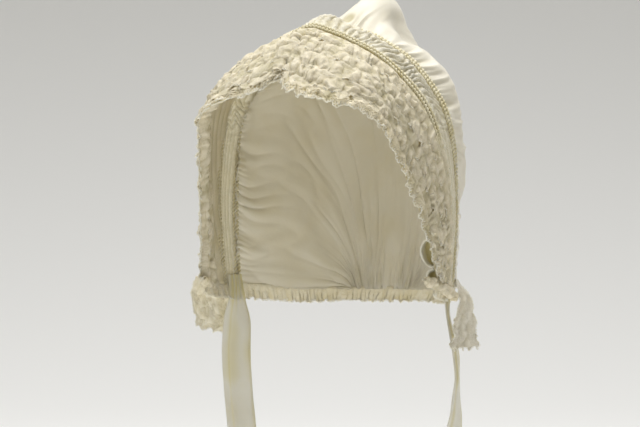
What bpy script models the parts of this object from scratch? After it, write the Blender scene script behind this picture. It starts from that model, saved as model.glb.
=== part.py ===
"""Infant's bonnet of gathered lace and silk satin, in the form that it has when it is worn.

Metres, +Z up, the front towards -Y and the wearer's left towards +X. The origin is the seat
inside the top, where the head that holds the bonnet up would touch it.

The cloth follows one surface. It is lofted through arches that stand one behind another, from
the brim's front edge over the top to the nape. A place on it has an arch number, which grows
towards the back, and a station number, which is 0 at the centre line and grows down each side.
"""

import math
from collections import namedtuple

import bpy
from mathutils import Vector

# Main sizes
HALF_WIDTH = 0.075
FRONT_REACH = 0.080
BACK_REACH = 0.098
NECK_DROP = 0.155
TUFT_RISE = 0.025

# Walls and clearances
CLOTH_WALL = 0.0014
LACE_WALL = 0.0010
GAP = 0.0003
SEAM_GAP = 0.0006
LACE_GAP = 0.0009

# Piping cords
CORD_RADIUS = 0.0011

# Gathers, as heights above the smooth surface
RUCHE_HIGH = 0.0040
RUCHE_LOW = 0.0018
BAND_PUFF = 0.0008
CROWN_GATHER = 0.0007

# Front lace
LACE_REACH = 0.0052
LACE_SCALLOP = 0.0018
LACE_FIRST_ROW = 0.0018
LACE_RIPPLE = 0.0005
SCALLOP_COUNT = 42

# Neck frill
FRILL_DROP = 0.0075
FRILL_FLARE = 0.0030
FRILL_RIPPLE = 0.0016

# Hanging lace ends
TAIL_DROP = 0.042
TAIL_SEWN = 0.005
TAIL_TOP_WIDTH = 0.008
TAIL_ARCH = 4.6
TAIL_WIDTH = 0.018
TAIL_SWING = 34
CORNER_DROP = 0.030
CORNER_TOP_WIDTH = 0.026
CORNER_WIDTH = 0.034
CORNER_ARCH = 1.0
CORNER_CLEAR = 0.0024
END_PLEAT = 0.0022

# Ribbon ties
TIE_WIDTH = 0.0175
TIE_LENGTH = 0.200
TIE_WALL = 0.0010
TIE_SWAY = 0.0060
TIE_SEWN = 0.0070
LEFT_TIE_ARCH = 4.7
RIGHT_TIE_ARCH = 3.3

# Ribbon loop
LOOP_BULGE = 0.0080
LOOP_DEPTH = 0.0080
LOOP_WALL = 0.0010

Stations = namedtuple("Stations", "centre crease roof shoulder side cheek end")
Arch = namedtuple("Arch", "name widths depths heights")

# Widths are shares of HALF_WIDTH. Depths are shares of FRONT_REACH where negative and of
# BACK_REACH where positive. Heights are shares of NECK_DROP where negative and of TUFT_RISE
# where positive.
ARCHES = (
    Arch(
        "front edge",
        Stations(0, 0.17, 0.51, 0.76, 0.88, 0.97, 1.03),
        Stations(-0.83, -1.00, -0.99, -0.79, -0.55, -0.33, -0.20),
        Stations(-0.175, -0.225, -0.27, -0.335, -0.515, -0.735, -0.955),
    ),
    Arch(
        "brim middle",
        Stations(0, 0.17, 0.48, 0.71, 0.89, 1.00, 1.01),
        Stations(-0.60, -0.65, -0.65, -0.55, -0.34, -0.175, -0.08),
        Stations(-0.06, -0.09, -0.15, -0.23, -0.41, -0.68, -0.97),
    ),
    Arch(
        "brim cords",
        Stations(0, 0.15, 0.32, 0.61, 0.89, 1.01, 0.99),
        Stations(-0.325, -0.31, -0.29, -0.21, -0.075, 0, 0.04),
        Stations(0.10, -0.005, -0.04, -0.13, -0.32, -0.61, -0.975),
    ),
    Arch(
        "band middle",
        Stations(0, 0.16, 0.35, 0.65, 0.89, 1.01, 0.97),
        Stations(-0.05, -0.06, -0.05, 0, 0.04, 0.08, 0.10),
        Stations(0.38, 0.16, -0.015, -0.12, -0.32, -0.645, -0.98),
    ),
    Arch(
        "crown cords",
        Stations(0, 0.16, 0.37, 0.65, 0.91, 0.98, 0.95),
        Stations(0.15, 0.14, 0.15, 0.18, 0.18, 0.19, 0.18),
        Stations(0.12, 0.04, -0.035, -0.14, -0.34, -0.645, -0.98),
    ),
    Arch(
        "crown front",
        Stations(0, 0.15, 0.40, 0.75, 0.92, 0.92, 0.89),
        Stations(0.34, 0.34, 0.35, 0.36, 0.37, 0.36, 0.32),
        Stations(0.62, 0.40, -0.02, -0.13, -0.335, -0.68, -0.985),
    ),
    Arch(
        "crown peak",
        Stations(0, 0.15, 0.27, 0.56, 0.77, 0.80, 0.81),
        Stations(0.59, 0.59, 0.58, 0.57, 0.57, 0.55, 0.48),
        Stations(1.00, 0.72, -0.003, -0.09, -0.32, -0.68, -0.99),
    ),
    Arch(
        "crown back",
        Stations(0, 0.13, 0.29, 0.53, 0.67, 0.67, 0.67),
        Stations(0.86, 0.85, 0.84, 0.82, 0.79, 0.73, 0.65),
        Stations(0.78, 0.46, -0.05, -0.18, -0.42, -0.71, -1.00),
    ),
    Arch(
        "back",
        Stations(0, 0.11, 0.23, 0.37, 0.47, 0.49, 0.48),
        Stations(1.00, 0.995, 0.98, 0.95, 0.91, 0.86, 0.78),
        Stations(-0.19, -0.22, -0.285, -0.42, -0.61, -0.81, -1.00),
    ),
    Arch(
        "back low",
        Stations(0, 0.08, 0.16, 0.24, 0.31, 0.35, 0.36),
        Stations(0.98, 0.975, 0.96, 0.93, 0.90, 0.86, 0.81),
        Stations(-0.61, -0.625, -0.66, -0.72, -0.81, -0.90, -1.00),
    ),
    Arch(
        "nape",
        Stations(0, 0.05, 0.11, 0.16, 0.21, 0.26, 0.31),
        Stations(0.86, 0.857, 0.852, 0.847, 0.84, 0.832, 0.82),
        Stations(-1.00, -1.00, -1.00, -1.00, -1.00, -1.00, -1.00),
    ),
)
FRONT_EDGE = 0
BRIM_SEAM = 2
CROWN_SEAM = 4
NAPE = len(ARCHES) - 1
END = len(Stations._fields) - 1

# How finely the surface is sampled
STEPS_PER_STATION = 4
STEPS_PER_ARCH = 2

UP = Vector((0, 0, 1))
DOWN = -UP

# Colours as linear RGB
IVORY_LACE = (0.72, 0.69, 0.55)
IVORY_NET = (0.70, 0.67, 0.54)
CREAM_SATIN = (0.86, 0.83, 0.72)
CREAM_CORD = (0.70, 0.65, 0.46)
CREAM_RIBBON = (0.74, 0.71, 0.60)

# Each row says where the ribbon is at a share of its length: aside is along X towards the
# outside and ahead is towards the front, both as shares of TIE_SWAY, and turn is the angle of
# its width from the X axis in degrees.
Hang = namedtuple("Hang", "down aside ahead turn")
LEFT_TIE_HANG = (
    Hang(0.00, 0.0, 0.0, 108),
    Hang(0.10, 0.0, 0.0, 110),
    Hang(0.22, 0.7, -0.2, 106),
    Hang(0.34, 1.1, 0.1, 104),
    Hang(0.46, 0.8, 0.2, 84),
    Hang(0.60, 0.1, 0.5, 66),
    Hang(0.80, -0.3, 0.8, 58),
    Hang(1.00, -0.4, 1.0, 52),
)
RIGHT_TIE_HANG = (
    Hang(0.00, 0.0, 0.0, 102),
    Hang(0.08, -0.2, 0.0, 106),
    Hang(0.15, -0.2, 0.0, 132),
    Hang(0.24, -0.1, 0.1, 150),
    Hang(0.36, -0.4, 0.2, 154),
    Hang(0.50, -0.9, 0.3, 152),
    Hang(0.75, -1.2, 0.4, 148),
    Hang(1.00, -1.3, 0.5, 144),
)


def catmull(p0, p1, p2, p3, t):
    """The value at share t between p1 and p2 of a smooth curve through four evenly spaced ones."""
    slope_1, slope_2 = (p2 - p0) / 2, (p3 - p1) / 2
    rise = p2 - p1
    return (
        p1
        + slope_1 * t
        + (3 * rise - 2 * slope_1 - slope_2) * t**2
        + (slope_1 + slope_2 - 2 * rise) * t**3
    )


def arch_point(index, station):
    """The table's point on the wearer's left, mirrored for a station below 0."""
    arch = ARCHES[index]
    place = abs(station)
    depth, height = arch.depths[place], arch.heights[place]
    x = math.copysign(arch.widths[place] * HALF_WIDTH, station)
    y = depth * (FRONT_REACH if depth < 0 else BACK_REACH)
    z = height * (NECK_DROP if height < 0 else TUFT_RISE)
    return Vector((x, y, z))


def smooth(point_at, place, first, last):
    """A smooth curve through the points that point_at gives for whole numbers."""
    below = min(max(math.floor(place), first), last - 1)

    def at(index):
        if index < first:
            return 2 * point_at(first) - point_at(first + 1)
        if index > last:
            return 2 * point_at(last) - point_at(last - 1)
        return point_at(index)

    return catmull(at(below - 1), at(below), at(below + 1), at(below + 2), place - below)


def surface(arch, station):
    """The cloth's outer surface at an arch number and a station number, -END to END."""

    def along(index):
        return smooth(lambda s: arch_point(index, s), station, -END, END)

    return smooth(along, arch, FRONT_EDGE, NAPE)


def stations():
    """Every sampled station, from the wearer's right to the wearer's left."""
    count = END * STEPS_PER_STATION
    return [i / STEPS_PER_STATION for i in range(-count, count + 1)]


def arches(first, last):
    """Every sampled arch number from first to last."""
    count = (last - first) * STEPS_PER_ARCH
    return [first + i / STEPS_PER_ARCH for i in range(count + 1)]


def direction(start, end):
    return (end - start).normalized()


def outward(arch, station):
    """The surface's normal, away from the head."""
    step = 0.05
    across = surface(arch, min(station + step, END)) - surface(arch, max(station - step, -END))
    back = surface(min(arch + step, NAPE), station) - surface(max(arch - step, 0), station)
    return across.cross(back).normalized()


def alternating(place):
    """1 on every second sampled station and -1 on those between them."""
    return 1 if round(place * STEPS_PER_STATION) % 2 else -1


def shell_grid(first, last, relief):
    """Rows of points from arch first to arch last, held back from a seam by half its gap.

    relief gives the height of the gathers at an arch and a station.
    """
    rows = []
    for arch in arches(first, last):
        row = []
        for station in stations():
            point = surface(arch, station)
            point += outward(arch, station) * relief(arch) * alternating(station)
            if arch in (BRIM_SEAM, CROWN_SEAM):
                inner = 1 / STEPS_PER_ARCH * (1 if arch == first else -1)
                point += direction(point, surface(arch + inner, station)) * SEAM_GAP / 2
            row.append(point)
        rows.append(row)
    return rows


def smooth_shaded(piece):
    for face in piece.data.polygons:
        face.use_smooth = True


def finished(piece, colour, roughness):
    """Puts the piece in the bonnet's collection, with a material of its own."""
    material = bpy.data.materials.new(piece.name)
    material.use_nodes = True
    shader = material.node_tree.nodes["Principled BSDF"]
    shader.inputs["Base Color"].default_value = (*colour, 1)
    shader.inputs["Roughness"].default_value = roughness
    shader.inputs["Metallic"].default_value = 0
    piece.data.materials.append(material)
    bonnet.objects.link(piece)
    return piece


def cloth(name, rows, wall, colour, roughness, holes=()):
    """A sheet through rows of points, thickened away from its outer side.

    holes holds the row and column of each face that is left open.
    """
    width = len(rows[0])
    faces = [
        (r * width + c, r * width + c + 1, (r + 1) * width + c + 1, (r + 1) * width + c)
        for r in range(len(rows) - 1)
        for c in range(width - 1)
        if (r, c) not in holes
    ]
    mesh = bpy.data.meshes.new(name)
    mesh.from_pydata([p for row in rows for p in row], [], faces)
    piece = bpy.data.objects.new(name, mesh)
    smooth_shaded(piece)
    thick = piece.modifiers.new("wall", "SOLIDIFY")
    thick.thickness = wall
    thick.offset = -1
    return finished(piece, colour, roughness)


def loft(name, rings, colour, roughness):
    """A closed body through rings of points, with flat ends."""
    size = len(rings[0])
    faces = [
        (
            i * size + k,
            i * size + (k + 1) % size,
            (i + 1) * size + (k + 1) % size,
            (i + 1) * size + k,
        )
        for i in range(len(rings) - 1)
        for k in range(size)
    ]
    last = (len(rings) - 1) * size
    faces.append(tuple(reversed(range(size))))
    faces.append(tuple(range(last, last + size)))
    mesh = bpy.data.meshes.new(name)
    mesh.from_pydata([p for ring in rings for p in ring], [], faces)
    piece = bpy.data.objects.new(name, mesh)
    smooth_shaded(piece)
    return finished(piece, colour, roughness)


def cord(name, points, radius):
    curve = bpy.data.curves.new(name, "CURVE")
    curve.dimensions = "3D"
    curve.bevel_depth = radius
    curve.bevel_resolution = 1
    curve.use_fill_caps = True
    spline = curve.splines.new("POLY")
    spline.points.add(len(points) - 1)
    for target, point in zip(spline.points, points):
        target.co = (*point, 1)
    spline.use_smooth = True
    return finished(bpy.data.objects.new(name, curve), CREAM_CORD, 0.55)


def cord_route(seam, side):
    """Points of a cord beside a seam: in front of it where side is -1, behind it where 1.

    The cord clears the cloth below it, whose slope beside the seam is worked out here.
    """
    points = []
    step = 1 / STEPS_PER_ARCH
    for station in stations():
        at = surface(seam, station)
        up = outward(seam, station)
        ahead = surface(seam - step, station) + outward(seam - step, station) * BAND_PUFF
        behind = surface(seam + step, station) + outward(seam + step, station) * BAND_PUFF
        across = direction(ahead, behind)
        across = (across - up * across.dot(up)).normalized() * side
        reach = CORD_RADIUS + GAP / 2
        slope = direction(at, behind if side > 0 else ahead)
        rise = math.atan2(slope.dot(up), slope.dot(across))
        height = (CORD_RADIUS + GAP) / math.cos(rise) + reach * math.tan(rise)
        points.append(at + across * reach + up * max(height, CORD_RADIUS + GAP))
    return points


def build_shells():
    """The brim, the net band and the satin crown, edge to edge."""

    def brim_relief(arch):
        return 0

    def band_relief(arch):
        return BAND_PUFF * math.sin(math.pi * (arch - BRIM_SEAM) / (CROWN_SEAM - BRIM_SEAM))

    def crown_relief(arch):
        from_cords, from_nape = arch - CROWN_SEAM, NAPE - arch
        gathered = min(from_cords, from_nape) * STEPS_PER_ARCH
        return CROWN_GATHER if gathered == 1 else CROWN_GATHER / 3 if gathered == 2 else 0

    cloth("brim", shell_grid(FRONT_EDGE, BRIM_SEAM, brim_relief), CLOTH_WALL, IVORY_LACE, 0.7)
    cloth("band", shell_grid(BRIM_SEAM, CROWN_SEAM, band_relief), CLOTH_WALL, IVORY_NET, 0.7)
    cloth("crown", shell_grid(CROWN_SEAM, NAPE, crown_relief), CLOTH_WALL, CREAM_SATIN, 0.45)


def build_cords():
    cord("brim_cord_front", cord_route(BRIM_SEAM, -1), CORD_RADIUS)
    cord("brim_cord_back", cord_route(BRIM_SEAM, 1), CORD_RADIUS)
    cord("crown_cord_front", cord_route(CROWN_SEAM, -1), CORD_RADIUS)
    cord("crown_cord_back", cord_route(CROWN_SEAM, 1), CORD_RADIUS)


def build_ruches():
    """Gathered rows over the brim, one on each of its strips, puffed and drawn in by turns."""
    edges = arches(FRONT_EDGE, BRIM_SEAM)
    for number, (front, back) in enumerate(zip(edges, edges[1:]), start=1):
        cords_here = 2 * CORD_RADIUS + 2 * GAP if back == BRIM_SEAM else 0
        rings = []
        for station in stations():
            ahead, behind = surface(front, station), surface(back, station)
            across = direction(ahead, behind)
            up = outward((front + back) / 2, station)
            up = (up - across * up.dot(across)).normalized()
            start = ahead + across * 2 * GAP + up * 2 * GAP
            end = behind - across * (2 * GAP + cords_here) + up * 2 * GAP
            high = RUCHE_HIGH if alternating(station) > 0 else RUCHE_LOW
            rings.append(
                [
                    start,
                    end,
                    end + up * high * 0.6,
                    start.lerp(end, 0.5) + up * high,
                    start + up * high * 0.6,
                ]
            )
        loft(f"brim_ruche_{number}", rings, IVORY_LACE, 0.75)


def spaced(points, count):
    """count + 1 places evenly spaced along a line, each as a segment's index and a share of it."""
    lengths = [(b - a).length for a, b in zip(points, points[1:])]
    total, places = sum(lengths), []
    for i in range(count + 1):
        left, index = total * i / count, 0
        while index < len(lengths) - 1 and left > lengths[index]:
            left -= lengths[index]
            index += 1
        places.append((index, min(left / lengths[index], 1)))
    return places


def square_to(points, ways):
    """The ways, each turned square to the line through the points."""
    turned = []
    last = len(points) - 1
    for i, way in enumerate(ways):
        along = direction(points[max(i - 1, 0)], points[min(i + 1, last)])
        turned.append((way - along * way.dot(along)).normalized())
    return turned


def build_front_lace():
    """Scalloped edging that goes on from the brim's front edge, with a hole in each scallop."""
    columns = 3
    edge = [surface(FRONT_EDGE, s) for s in stations()]
    inner = [surface(FRONT_EDGE + 1 / STEPS_PER_ARCH, s) for s in stations()]
    normals = [outward(FRONT_EDGE, s) for s in stations()]
    ways = square_to(edge, [direction(a, b) for a, b in zip(inner, edge)])
    rows = [[], [], []]
    holes = set()
    for i, (index, share) in enumerate(spaced(edge, SCALLOP_COUNT * columns)):
        point = edge[index].lerp(edge[index + 1], share)
        away = ways[index].lerp(ways[index + 1], share).normalized()
        up = normals[index].lerp(normals[index + 1], share).normalized()
        at_tip = math.sin(math.pi * (i % columns) / columns)
        reach = LACE_REACH + LACE_SCALLOP * (at_tip - 1)
        ripple = up * LACE_RIPPLE * math.sin(2 * math.pi * i / (2 * columns))
        sunk = up * (CLOTH_WALL - LACE_WALL) / 2
        rows[0].append(point + away * reach + ripple - sunk)
        rows[1].append(point + away * LACE_FIRST_ROW + ripple / 2 - sunk)
        rows[2].append(point + away * LACE_GAP - sunk)
        if i % columns == 1:
            holes.add((0, i))
    cloth("front_lace", rows, LACE_WALL, IVORY_LACE, 0.75, holes)


def neck_line():
    """Points along the neck edge from the right front corner round the nape to the left one.

    Each has the way on downwards from the edge and the way outwards.
    """
    line = []
    step = 1 / STEPS_PER_STATION
    for side in (-1, 1):
        run = []
        for arch in arches(FRONT_EDGE, NAPE)[:-1]:
            point = surface(arch, side * END)
            way = direction(surface(arch, side * (END - step)), point)
            run.append((point, way, outward(arch, side * END)))
        for station in [i * step for i in range(END * STEPS_PER_STATION, 0, -1)]:
            point = surface(NAPE, side * station)
            way = direction(surface(NAPE - 1 / STEPS_PER_ARCH, side * station), point)
            run.append((point, way, outward(NAPE, side * station)))
        line += run if side < 0 else run[::-1]
        if side < 0:
            point = surface(NAPE, 0)
            way = direction(surface(NAPE - 1 / STEPS_PER_ARCH, 0), point)
            line.append((point, way, outward(NAPE, 0)))
    points, ways, outs = zip(*line)
    return list(zip(points, square_to(points, ways), outs))


def build_neck_frill():
    rows = [[], []]
    for i, (point, way, out) in enumerate(neck_line()):
        sunk = out * (CLOTH_WALL - LACE_WALL) / 2
        ripple = FRILL_RIPPLE * (1 if i % 2 else -1)
        top = point + way * SEAM_GAP - sunk
        rows[0].append(top)
        rows[1].append(top + way * FRILL_DROP + out * (FRILL_FLARE + ripple))
    cloth("neck_frill", [rows[1], rows[0]], LACE_WALL, IVORY_LACE, 0.75)


def flat(vector):
    return Vector((vector.x, vector.y, 0)).normalized()


def hanging_lace(name, arch, side, sewn, clear, drop, widths, swing):
    """A pleated lace end that hangs outside the neck frill and flares over it.

    Its top is sewn on above the neck edge, or just below it where sewn is negative, and clear
    is how far its inner side stands off the cloth. widths are those of its top and its foot.
    Its back edge swings outwards on the way down, by swing degrees at its foot.
    """
    edge = surface(arch, side * END)
    out = flat(outward(arch, side * END))
    way = direction(surface(arch, side * (END - 1 / STEPS_PER_STATION)), edge)
    along = direction(surface(max(arch - 0.5, 0), side * END), surface(arch + 0.5, side * END))
    frill = FRILL_FLARE + FRILL_RIPPLE + END_PLEAT / 2
    over_frill = (FRILL_DROP + sewn) / drop
    columns, rows = 8, []
    for down, lift in ((0, 0), (over_frill, 1), ((1 + over_frill) / 2, 1.3), (1, 1)):
        spread = widths[0] + (widths[1] - widths[0]) * math.sin(math.pi / 2 * down)
        middle = edge + way * (drop * down - sewn) + out * (LACE_WALL + clear + frill * lift)
        turn = math.radians(swing * math.sin(math.pi / 2 * down))
        row = []
        for c in range(columns + 1):
            pleat = END_PLEAT / 2 * down * (1 if c % 2 else -1)
            place = c / columns
            back = along * (place * math.cos(turn) - 0.5) + out * place * math.sin(turn)
            row.append(middle + back * spread + out * pleat)
        rows.append(row[::-1] if side > 0 else row)
    cloth(name, rows, LACE_WALL, IVORY_LACE, 0.75)


def ribbon(name, top, side, hang):
    """A ribbon that hangs from its top, through the rows of its table."""

    def value(field, place):
        return smooth(lambda i: getattr(hang[i], field), place, 0, len(hang) - 1)

    steps = 3 * (len(hang) - 1)
    rows = []
    for i in range(steps + 1):
        place = i / 3
        turn = math.radians(value("turn", place))
        across = Vector((side * math.cos(turn), math.sin(turn), 0))
        point = top + DOWN * TIE_LENGTH * value("down", place)
        point.x += side * TIE_SWAY * value("aside", place)
        point.y -= TIE_SWAY * value("ahead", place)
        row = [point + across * TIE_WIDTH * share for share in (-0.5, -0.2, 0.2, 0.5)]
        rows.append(row if side > 0 else row[::-1])
    cloth(name, rows, TIE_WALL, CREAM_RIBBON, 0.5)


def build_ties():
    """Each tie is sewn inside the neck edge, near the second pair of cords."""
    for name, side, arch, hang in (
        ("tie_left", 1, LEFT_TIE_ARCH, LEFT_TIE_HANG),
        ("tie_right", -1, RIGHT_TIE_ARCH, RIGHT_TIE_HANG),
    ):
        edge = surface(arch, side * END)
        out = outward(arch, side * END)
        inset = CLOTH_WALL + TIE_WALL + 3 * GAP
        ribbon(name, edge - flat(out) * inset + UP * TIE_SEWN, side, hang)


def build_side_loop():
    """A short ribbon that curls in from the left front corner and back to it."""
    arch, first, last = 0.25, END - 0.75, END - 0.25
    behind = direction(surface(arch, last), surface(arch + 0.5, last))
    inward = -outward(arch, (first + last) / 2)
    seat = CLOTH_WALL + 2 * GAP
    top = surface(arch, first) + inward * seat
    bottom = surface(arch, last) + inward * seat
    rows = []
    steps = 10
    for i in range(steps + 1):
        angle = math.pi * i / steps
        share = (1 - math.cos(angle)) / 2
        point = top.lerp(bottom, share) + inward * LOOP_BULGE * math.sin(angle)
        rows.append([point, point + behind * LOOP_DEPTH])
    cloth("side_loop", rows, LOOP_WALL, CREAM_RIBBON, 0.5)


for leftover in list(bpy.data.objects):
    bpy.data.objects.remove(leftover)
bonnet = bpy.data.collections.new("bonnet")
bpy.context.scene.collection.children.link(bonnet)
build_shells()
build_cords()
build_ruches()
build_front_lace()
build_neck_frill()
TAIL_WIDTHS = (TAIL_TOP_WIDTH, TAIL_WIDTH)
CORNER_WIDTHS = (CORNER_TOP_WIDTH, CORNER_WIDTH)
hanging_lace("lace_tail_left", TAIL_ARCH, 1, TAIL_SEWN, 2 * GAP, TAIL_DROP, TAIL_WIDTHS, TAIL_SWING)
hanging_lace(
    "lace_corner_right", CORNER_ARCH, -1, -GAP, CORNER_CLEAR, CORNER_DROP, CORNER_WIDTHS, 0
)
build_ties()
build_side_loop()
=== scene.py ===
import math

import bpy
import numpy as np
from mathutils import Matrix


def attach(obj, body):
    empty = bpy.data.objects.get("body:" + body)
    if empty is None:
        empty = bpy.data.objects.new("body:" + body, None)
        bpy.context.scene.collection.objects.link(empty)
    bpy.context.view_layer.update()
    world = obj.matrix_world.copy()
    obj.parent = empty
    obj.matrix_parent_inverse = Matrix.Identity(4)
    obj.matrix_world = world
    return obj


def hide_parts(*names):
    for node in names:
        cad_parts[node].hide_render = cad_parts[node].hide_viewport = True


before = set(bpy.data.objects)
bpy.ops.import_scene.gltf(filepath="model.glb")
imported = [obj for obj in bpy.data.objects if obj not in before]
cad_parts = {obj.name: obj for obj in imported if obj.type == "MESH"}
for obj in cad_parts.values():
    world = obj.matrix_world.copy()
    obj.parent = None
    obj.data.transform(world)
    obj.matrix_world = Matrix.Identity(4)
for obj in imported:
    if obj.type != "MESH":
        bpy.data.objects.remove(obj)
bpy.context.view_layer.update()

# Main sizes in metres, as the CAD part has them
HALF_WIDTH = 0.075
FRONT_REACH = 0.080
BACK_REACH = 0.098
NECK_DROP = 0.155
TUFT_RISE = 0.025
CLOTH_WALL = 0.0014
LACE_WALL = 0.0010
GAP = 0.0003
CORD_RADIUS = 0.0011
FRILL_DROP = 0.0075
FRILL_FLARE = 0.0030
END_PLEAT = 0.0022
TIE_WIDTH = 0.0175
TIE_LENGTH = 0.200
TIE_WALL = 0.0010
TIE_SWAY = 0.0060
TIE_SEWN = 0.0070
LEFT_TIE_ARCH = 4.7
RIGHT_TIE_ARCH = 3.3
LOOP_BULGE = 0.0080
LOOP_DEPTH = 0.0080

# The two hanging ends of lace: the arch they hang from, how far they are sewn down, how far they
# fall, their widths at the top and the foot, how many degrees their back edge swings out, and the
# share of their width in front of where they are sewn
TAIL_ARCH = 4.6
TAIL_SEWN = 0.005
TAIL_DROP = 0.042
TAIL_WIDTHS = (0.0115, 0.0185)
TAIL_SWING = 52
TAIL_FORWARD = 0.60
CORNER_ARCH = 1.0
CORNER_SEWN = 0.0030
CORNER_DROP = 0.033
CORNER_WIDTHS = (0.036, 0.044)
CORNER_SWING = 0
CORNER_FORWARD = 0.34
CORNER_CLEAR = 0.0024

# How thick each cloth is
LACE_SHEET = 0.0004
TIE_SHEET = 0.0004
LOOP_SHEET = 0.0005
NET_SHEET = 0.0007
SATIN_SHEET = 0.0008
GROUND_SHEET = 0.0009

# How far apart or how broad the folds are: in the band, in the crown, in the lace over the brim, in
# the neck frill, in the hanging lace and in the rolled lace
BAND_RIB = 0.0044
BAND_FINE_RIB = 0.0021
CROWN_GATHER = 0.0034
CROWN_FOLD = 0.0062
CROWN_CREASE = 0.014
NAPE_FOLD = 0.0050
LACE_SCALLOP = 0.0076
LACE_FOLD = 0.0070
LACE_PUFF = 0.0047
LACE_PUCKER = 0.0028
LACE_CRINKLE = 0.0021
NECK_SCALLOP = 0.0072
NECK_FOLD = 0.0062
NECK_PUCKER = 0.0040
NECK_CRINKLE = 0.0020
HUNG_PUFF = 0.0058
HUNG_CRINKLE = 0.0024
ROLL_PUFF = 0.0026
ROLL_CRINKLE = 0.0013

# The size each twisted cord is grown at, the radius of the rolled lace and how far it goes round
CORD_SIZE = 0.00148
ROLL_RADIUS = 0.0025
ROLL_FROM, ROLL_TO = -150, 150

# Picots along an edge: how far apart, the size of their loops, and the thickness of their thread
BOLD_PICOTS = (0.0020, 0.00095, 0.00034)
ROW_PICOTS = (0.0024, 0.0008, 0.00024)
SIDE_PICOTS = (0.0021, 0.0008, 0.00026)
NECK_PICOTS = (0.0022, 0.0008, 0.00026)
FINE_PICOTS = (0.0021, 0.0007, 0.00024)

# Each cloth as it was cut, before it was gathered or hung: width and length
SIDE_CUT = (0.018, 0.035)
INNER_CUT = (0.018, 0.165)
INNER_CORNER_CUT = (0.026, 0.045)

# How far the worn cloth has settled off the even shape: the right front corner is drawn in,
# the tuft leans to the wearer's left, and the middle of the brim is pinched into a crease
CORNER_DRAWN_IN = 0.0035
TUFT_LEAN = 0.0030
CREASE_DEPTH = 0.0074

# Each arch runs from side to side: widths, depths and heights as shares of the main sizes, from
# the middle of the top to the neck edge. A depth below 0 is a share of FRONT_REACH, any other of
# BACK_REACH. A height below 0 is a share of NECK_DROP, any other of TUFT_RISE.
ARCHES = (
    # front edge
    (
        (0, 0.17, 0.51, 0.76, 0.88, 0.97, 1.03),
        (-0.83, -1, -0.99, -0.79, -0.55, -0.33, -0.20),
        (-0.175, -0.225, -0.27, -0.335, -0.515, -0.735, -0.955),
    ),
    # middle of the brim
    (
        (0, 0.17, 0.48, 0.71, 0.89, 1, 1.01),
        (-0.60, -0.65, -0.65, -0.55, -0.34, -0.175, -0.08),
        (-0.06, -0.09, -0.15, -0.23, -0.41, -0.68, -0.97),
    ),
    # seam under the first pair of cords
    (
        (0, 0.15, 0.32, 0.61, 0.89, 1.01, 0.99),
        (-0.325, -0.31, -0.29, -0.21, -0.075, 0, 0.04),
        (0.10, -0.005, -0.04, -0.13, -0.32, -0.61, -0.975),
    ),
    # middle of the band
    (
        (0, 0.16, 0.35, 0.65, 0.89, 1.01, 0.97),
        (-0.05, -0.06, -0.05, 0, 0.04, 0.08, 0.10),
        (0.38, 0.16, -0.015, -0.12, -0.32, -0.645, -0.98),
    ),
    # seam under the second pair of cords
    (
        (0, 0.16, 0.37, 0.65, 0.91, 0.98, 0.95),
        (0.15, 0.14, 0.15, 0.18, 0.18, 0.19, 0.18),
        (0.12, 0.04, -0.035, -0.14, -0.34, -0.645, -0.98),
    ),
    # front of the crown
    (
        (0, 0.15, 0.40, 0.75, 0.92, 0.92, 0.89),
        (0.34, 0.34, 0.35, 0.36, 0.37, 0.36, 0.32),
        (0.62, 0.40, -0.02, -0.13, -0.335, -0.68, -0.985),
    ),
    # peak of the crown
    (
        (0, 0.15, 0.27, 0.56, 0.77, 0.80, 0.81),
        (0.59, 0.59, 0.58, 0.57, 0.57, 0.55, 0.48),
        (1, 0.72, -0.003, -0.09, -0.32, -0.68, -0.99),
    ),
    # back of the crown
    (
        (0, 0.13, 0.29, 0.53, 0.67, 0.67, 0.67),
        (0.86, 0.85, 0.84, 0.82, 0.79, 0.73, 0.65),
        (0.78, 0.46, -0.05, -0.18, -0.42, -0.71, -1),
    ),
    # back
    (
        (0, 0.11, 0.23, 0.37, 0.47, 0.49, 0.48),
        (1, 0.995, 0.98, 0.95, 0.91, 0.86, 0.78),
        (-0.19, -0.22, -0.285, -0.42, -0.61, -0.81, -1),
    ),
    # low on the back
    (
        (0, 0.08, 0.16, 0.24, 0.31, 0.35, 0.36),
        (0.98, 0.975, 0.96, 0.93, 0.90, 0.86, 0.81),
        (-0.61, -0.625, -0.66, -0.72, -0.81, -0.90, -1),
    ),
    # nape
    (
        (0, 0.05, 0.11, 0.16, 0.21, 0.26, 0.31),
        (0.86, 0.857, 0.852, 0.847, 0.84, 0.832, 0.82),
        (-1, -1, -1, -1, -1, -1, -1),
    ),
)
BRIM_SEAM = 2
CROWN_SEAM = 4
NAPE = len(ARCHES) - 1
END = len(ARCHES[0][0]) - 1
UP = np.array((0.0, 0.0, 1.0))

# Where each tie is at shares of its length: share down, share of TIE_SWAY to the outside,
# share of TIE_SWAY to the front, and the turn of its width in degrees
LEFT_TIE_HANG = (
    (0.00, 0.0, 0.0, 108),
    (0.10, 0.0, 0.0, 110),
    (0.22, 0.7, -0.2, 106),
    (0.34, 1.1, 0.1, 104),
    (0.46, 0.8, 0.2, 84),
    (0.60, 0.1, 0.5, 66),
    (0.80, -0.3, 0.8, 58),
    (1.00, -0.4, 1.0, 52),
)
RIGHT_TIE_HANG = (
    (0.00, 0.0, 0.0, 102),
    (0.08, -0.2, 0.0, 106),
    (0.15, -0.2, 0.0, 132),
    (0.24, -0.1, 0.1, 150),
    (0.36, -0.4, 0.2, 154),
    (0.50, -0.9, 0.3, 152),
    (0.75, -1.2, 0.4, 148),
    (1.00, -1.3, 0.5, 144),
)


def placed(name, data):
    """An object made of this data, in the scene."""
    made = bpy.data.objects.new(name, data)
    bpy.context.scene.collection.objects.link(made)
    return made


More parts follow.
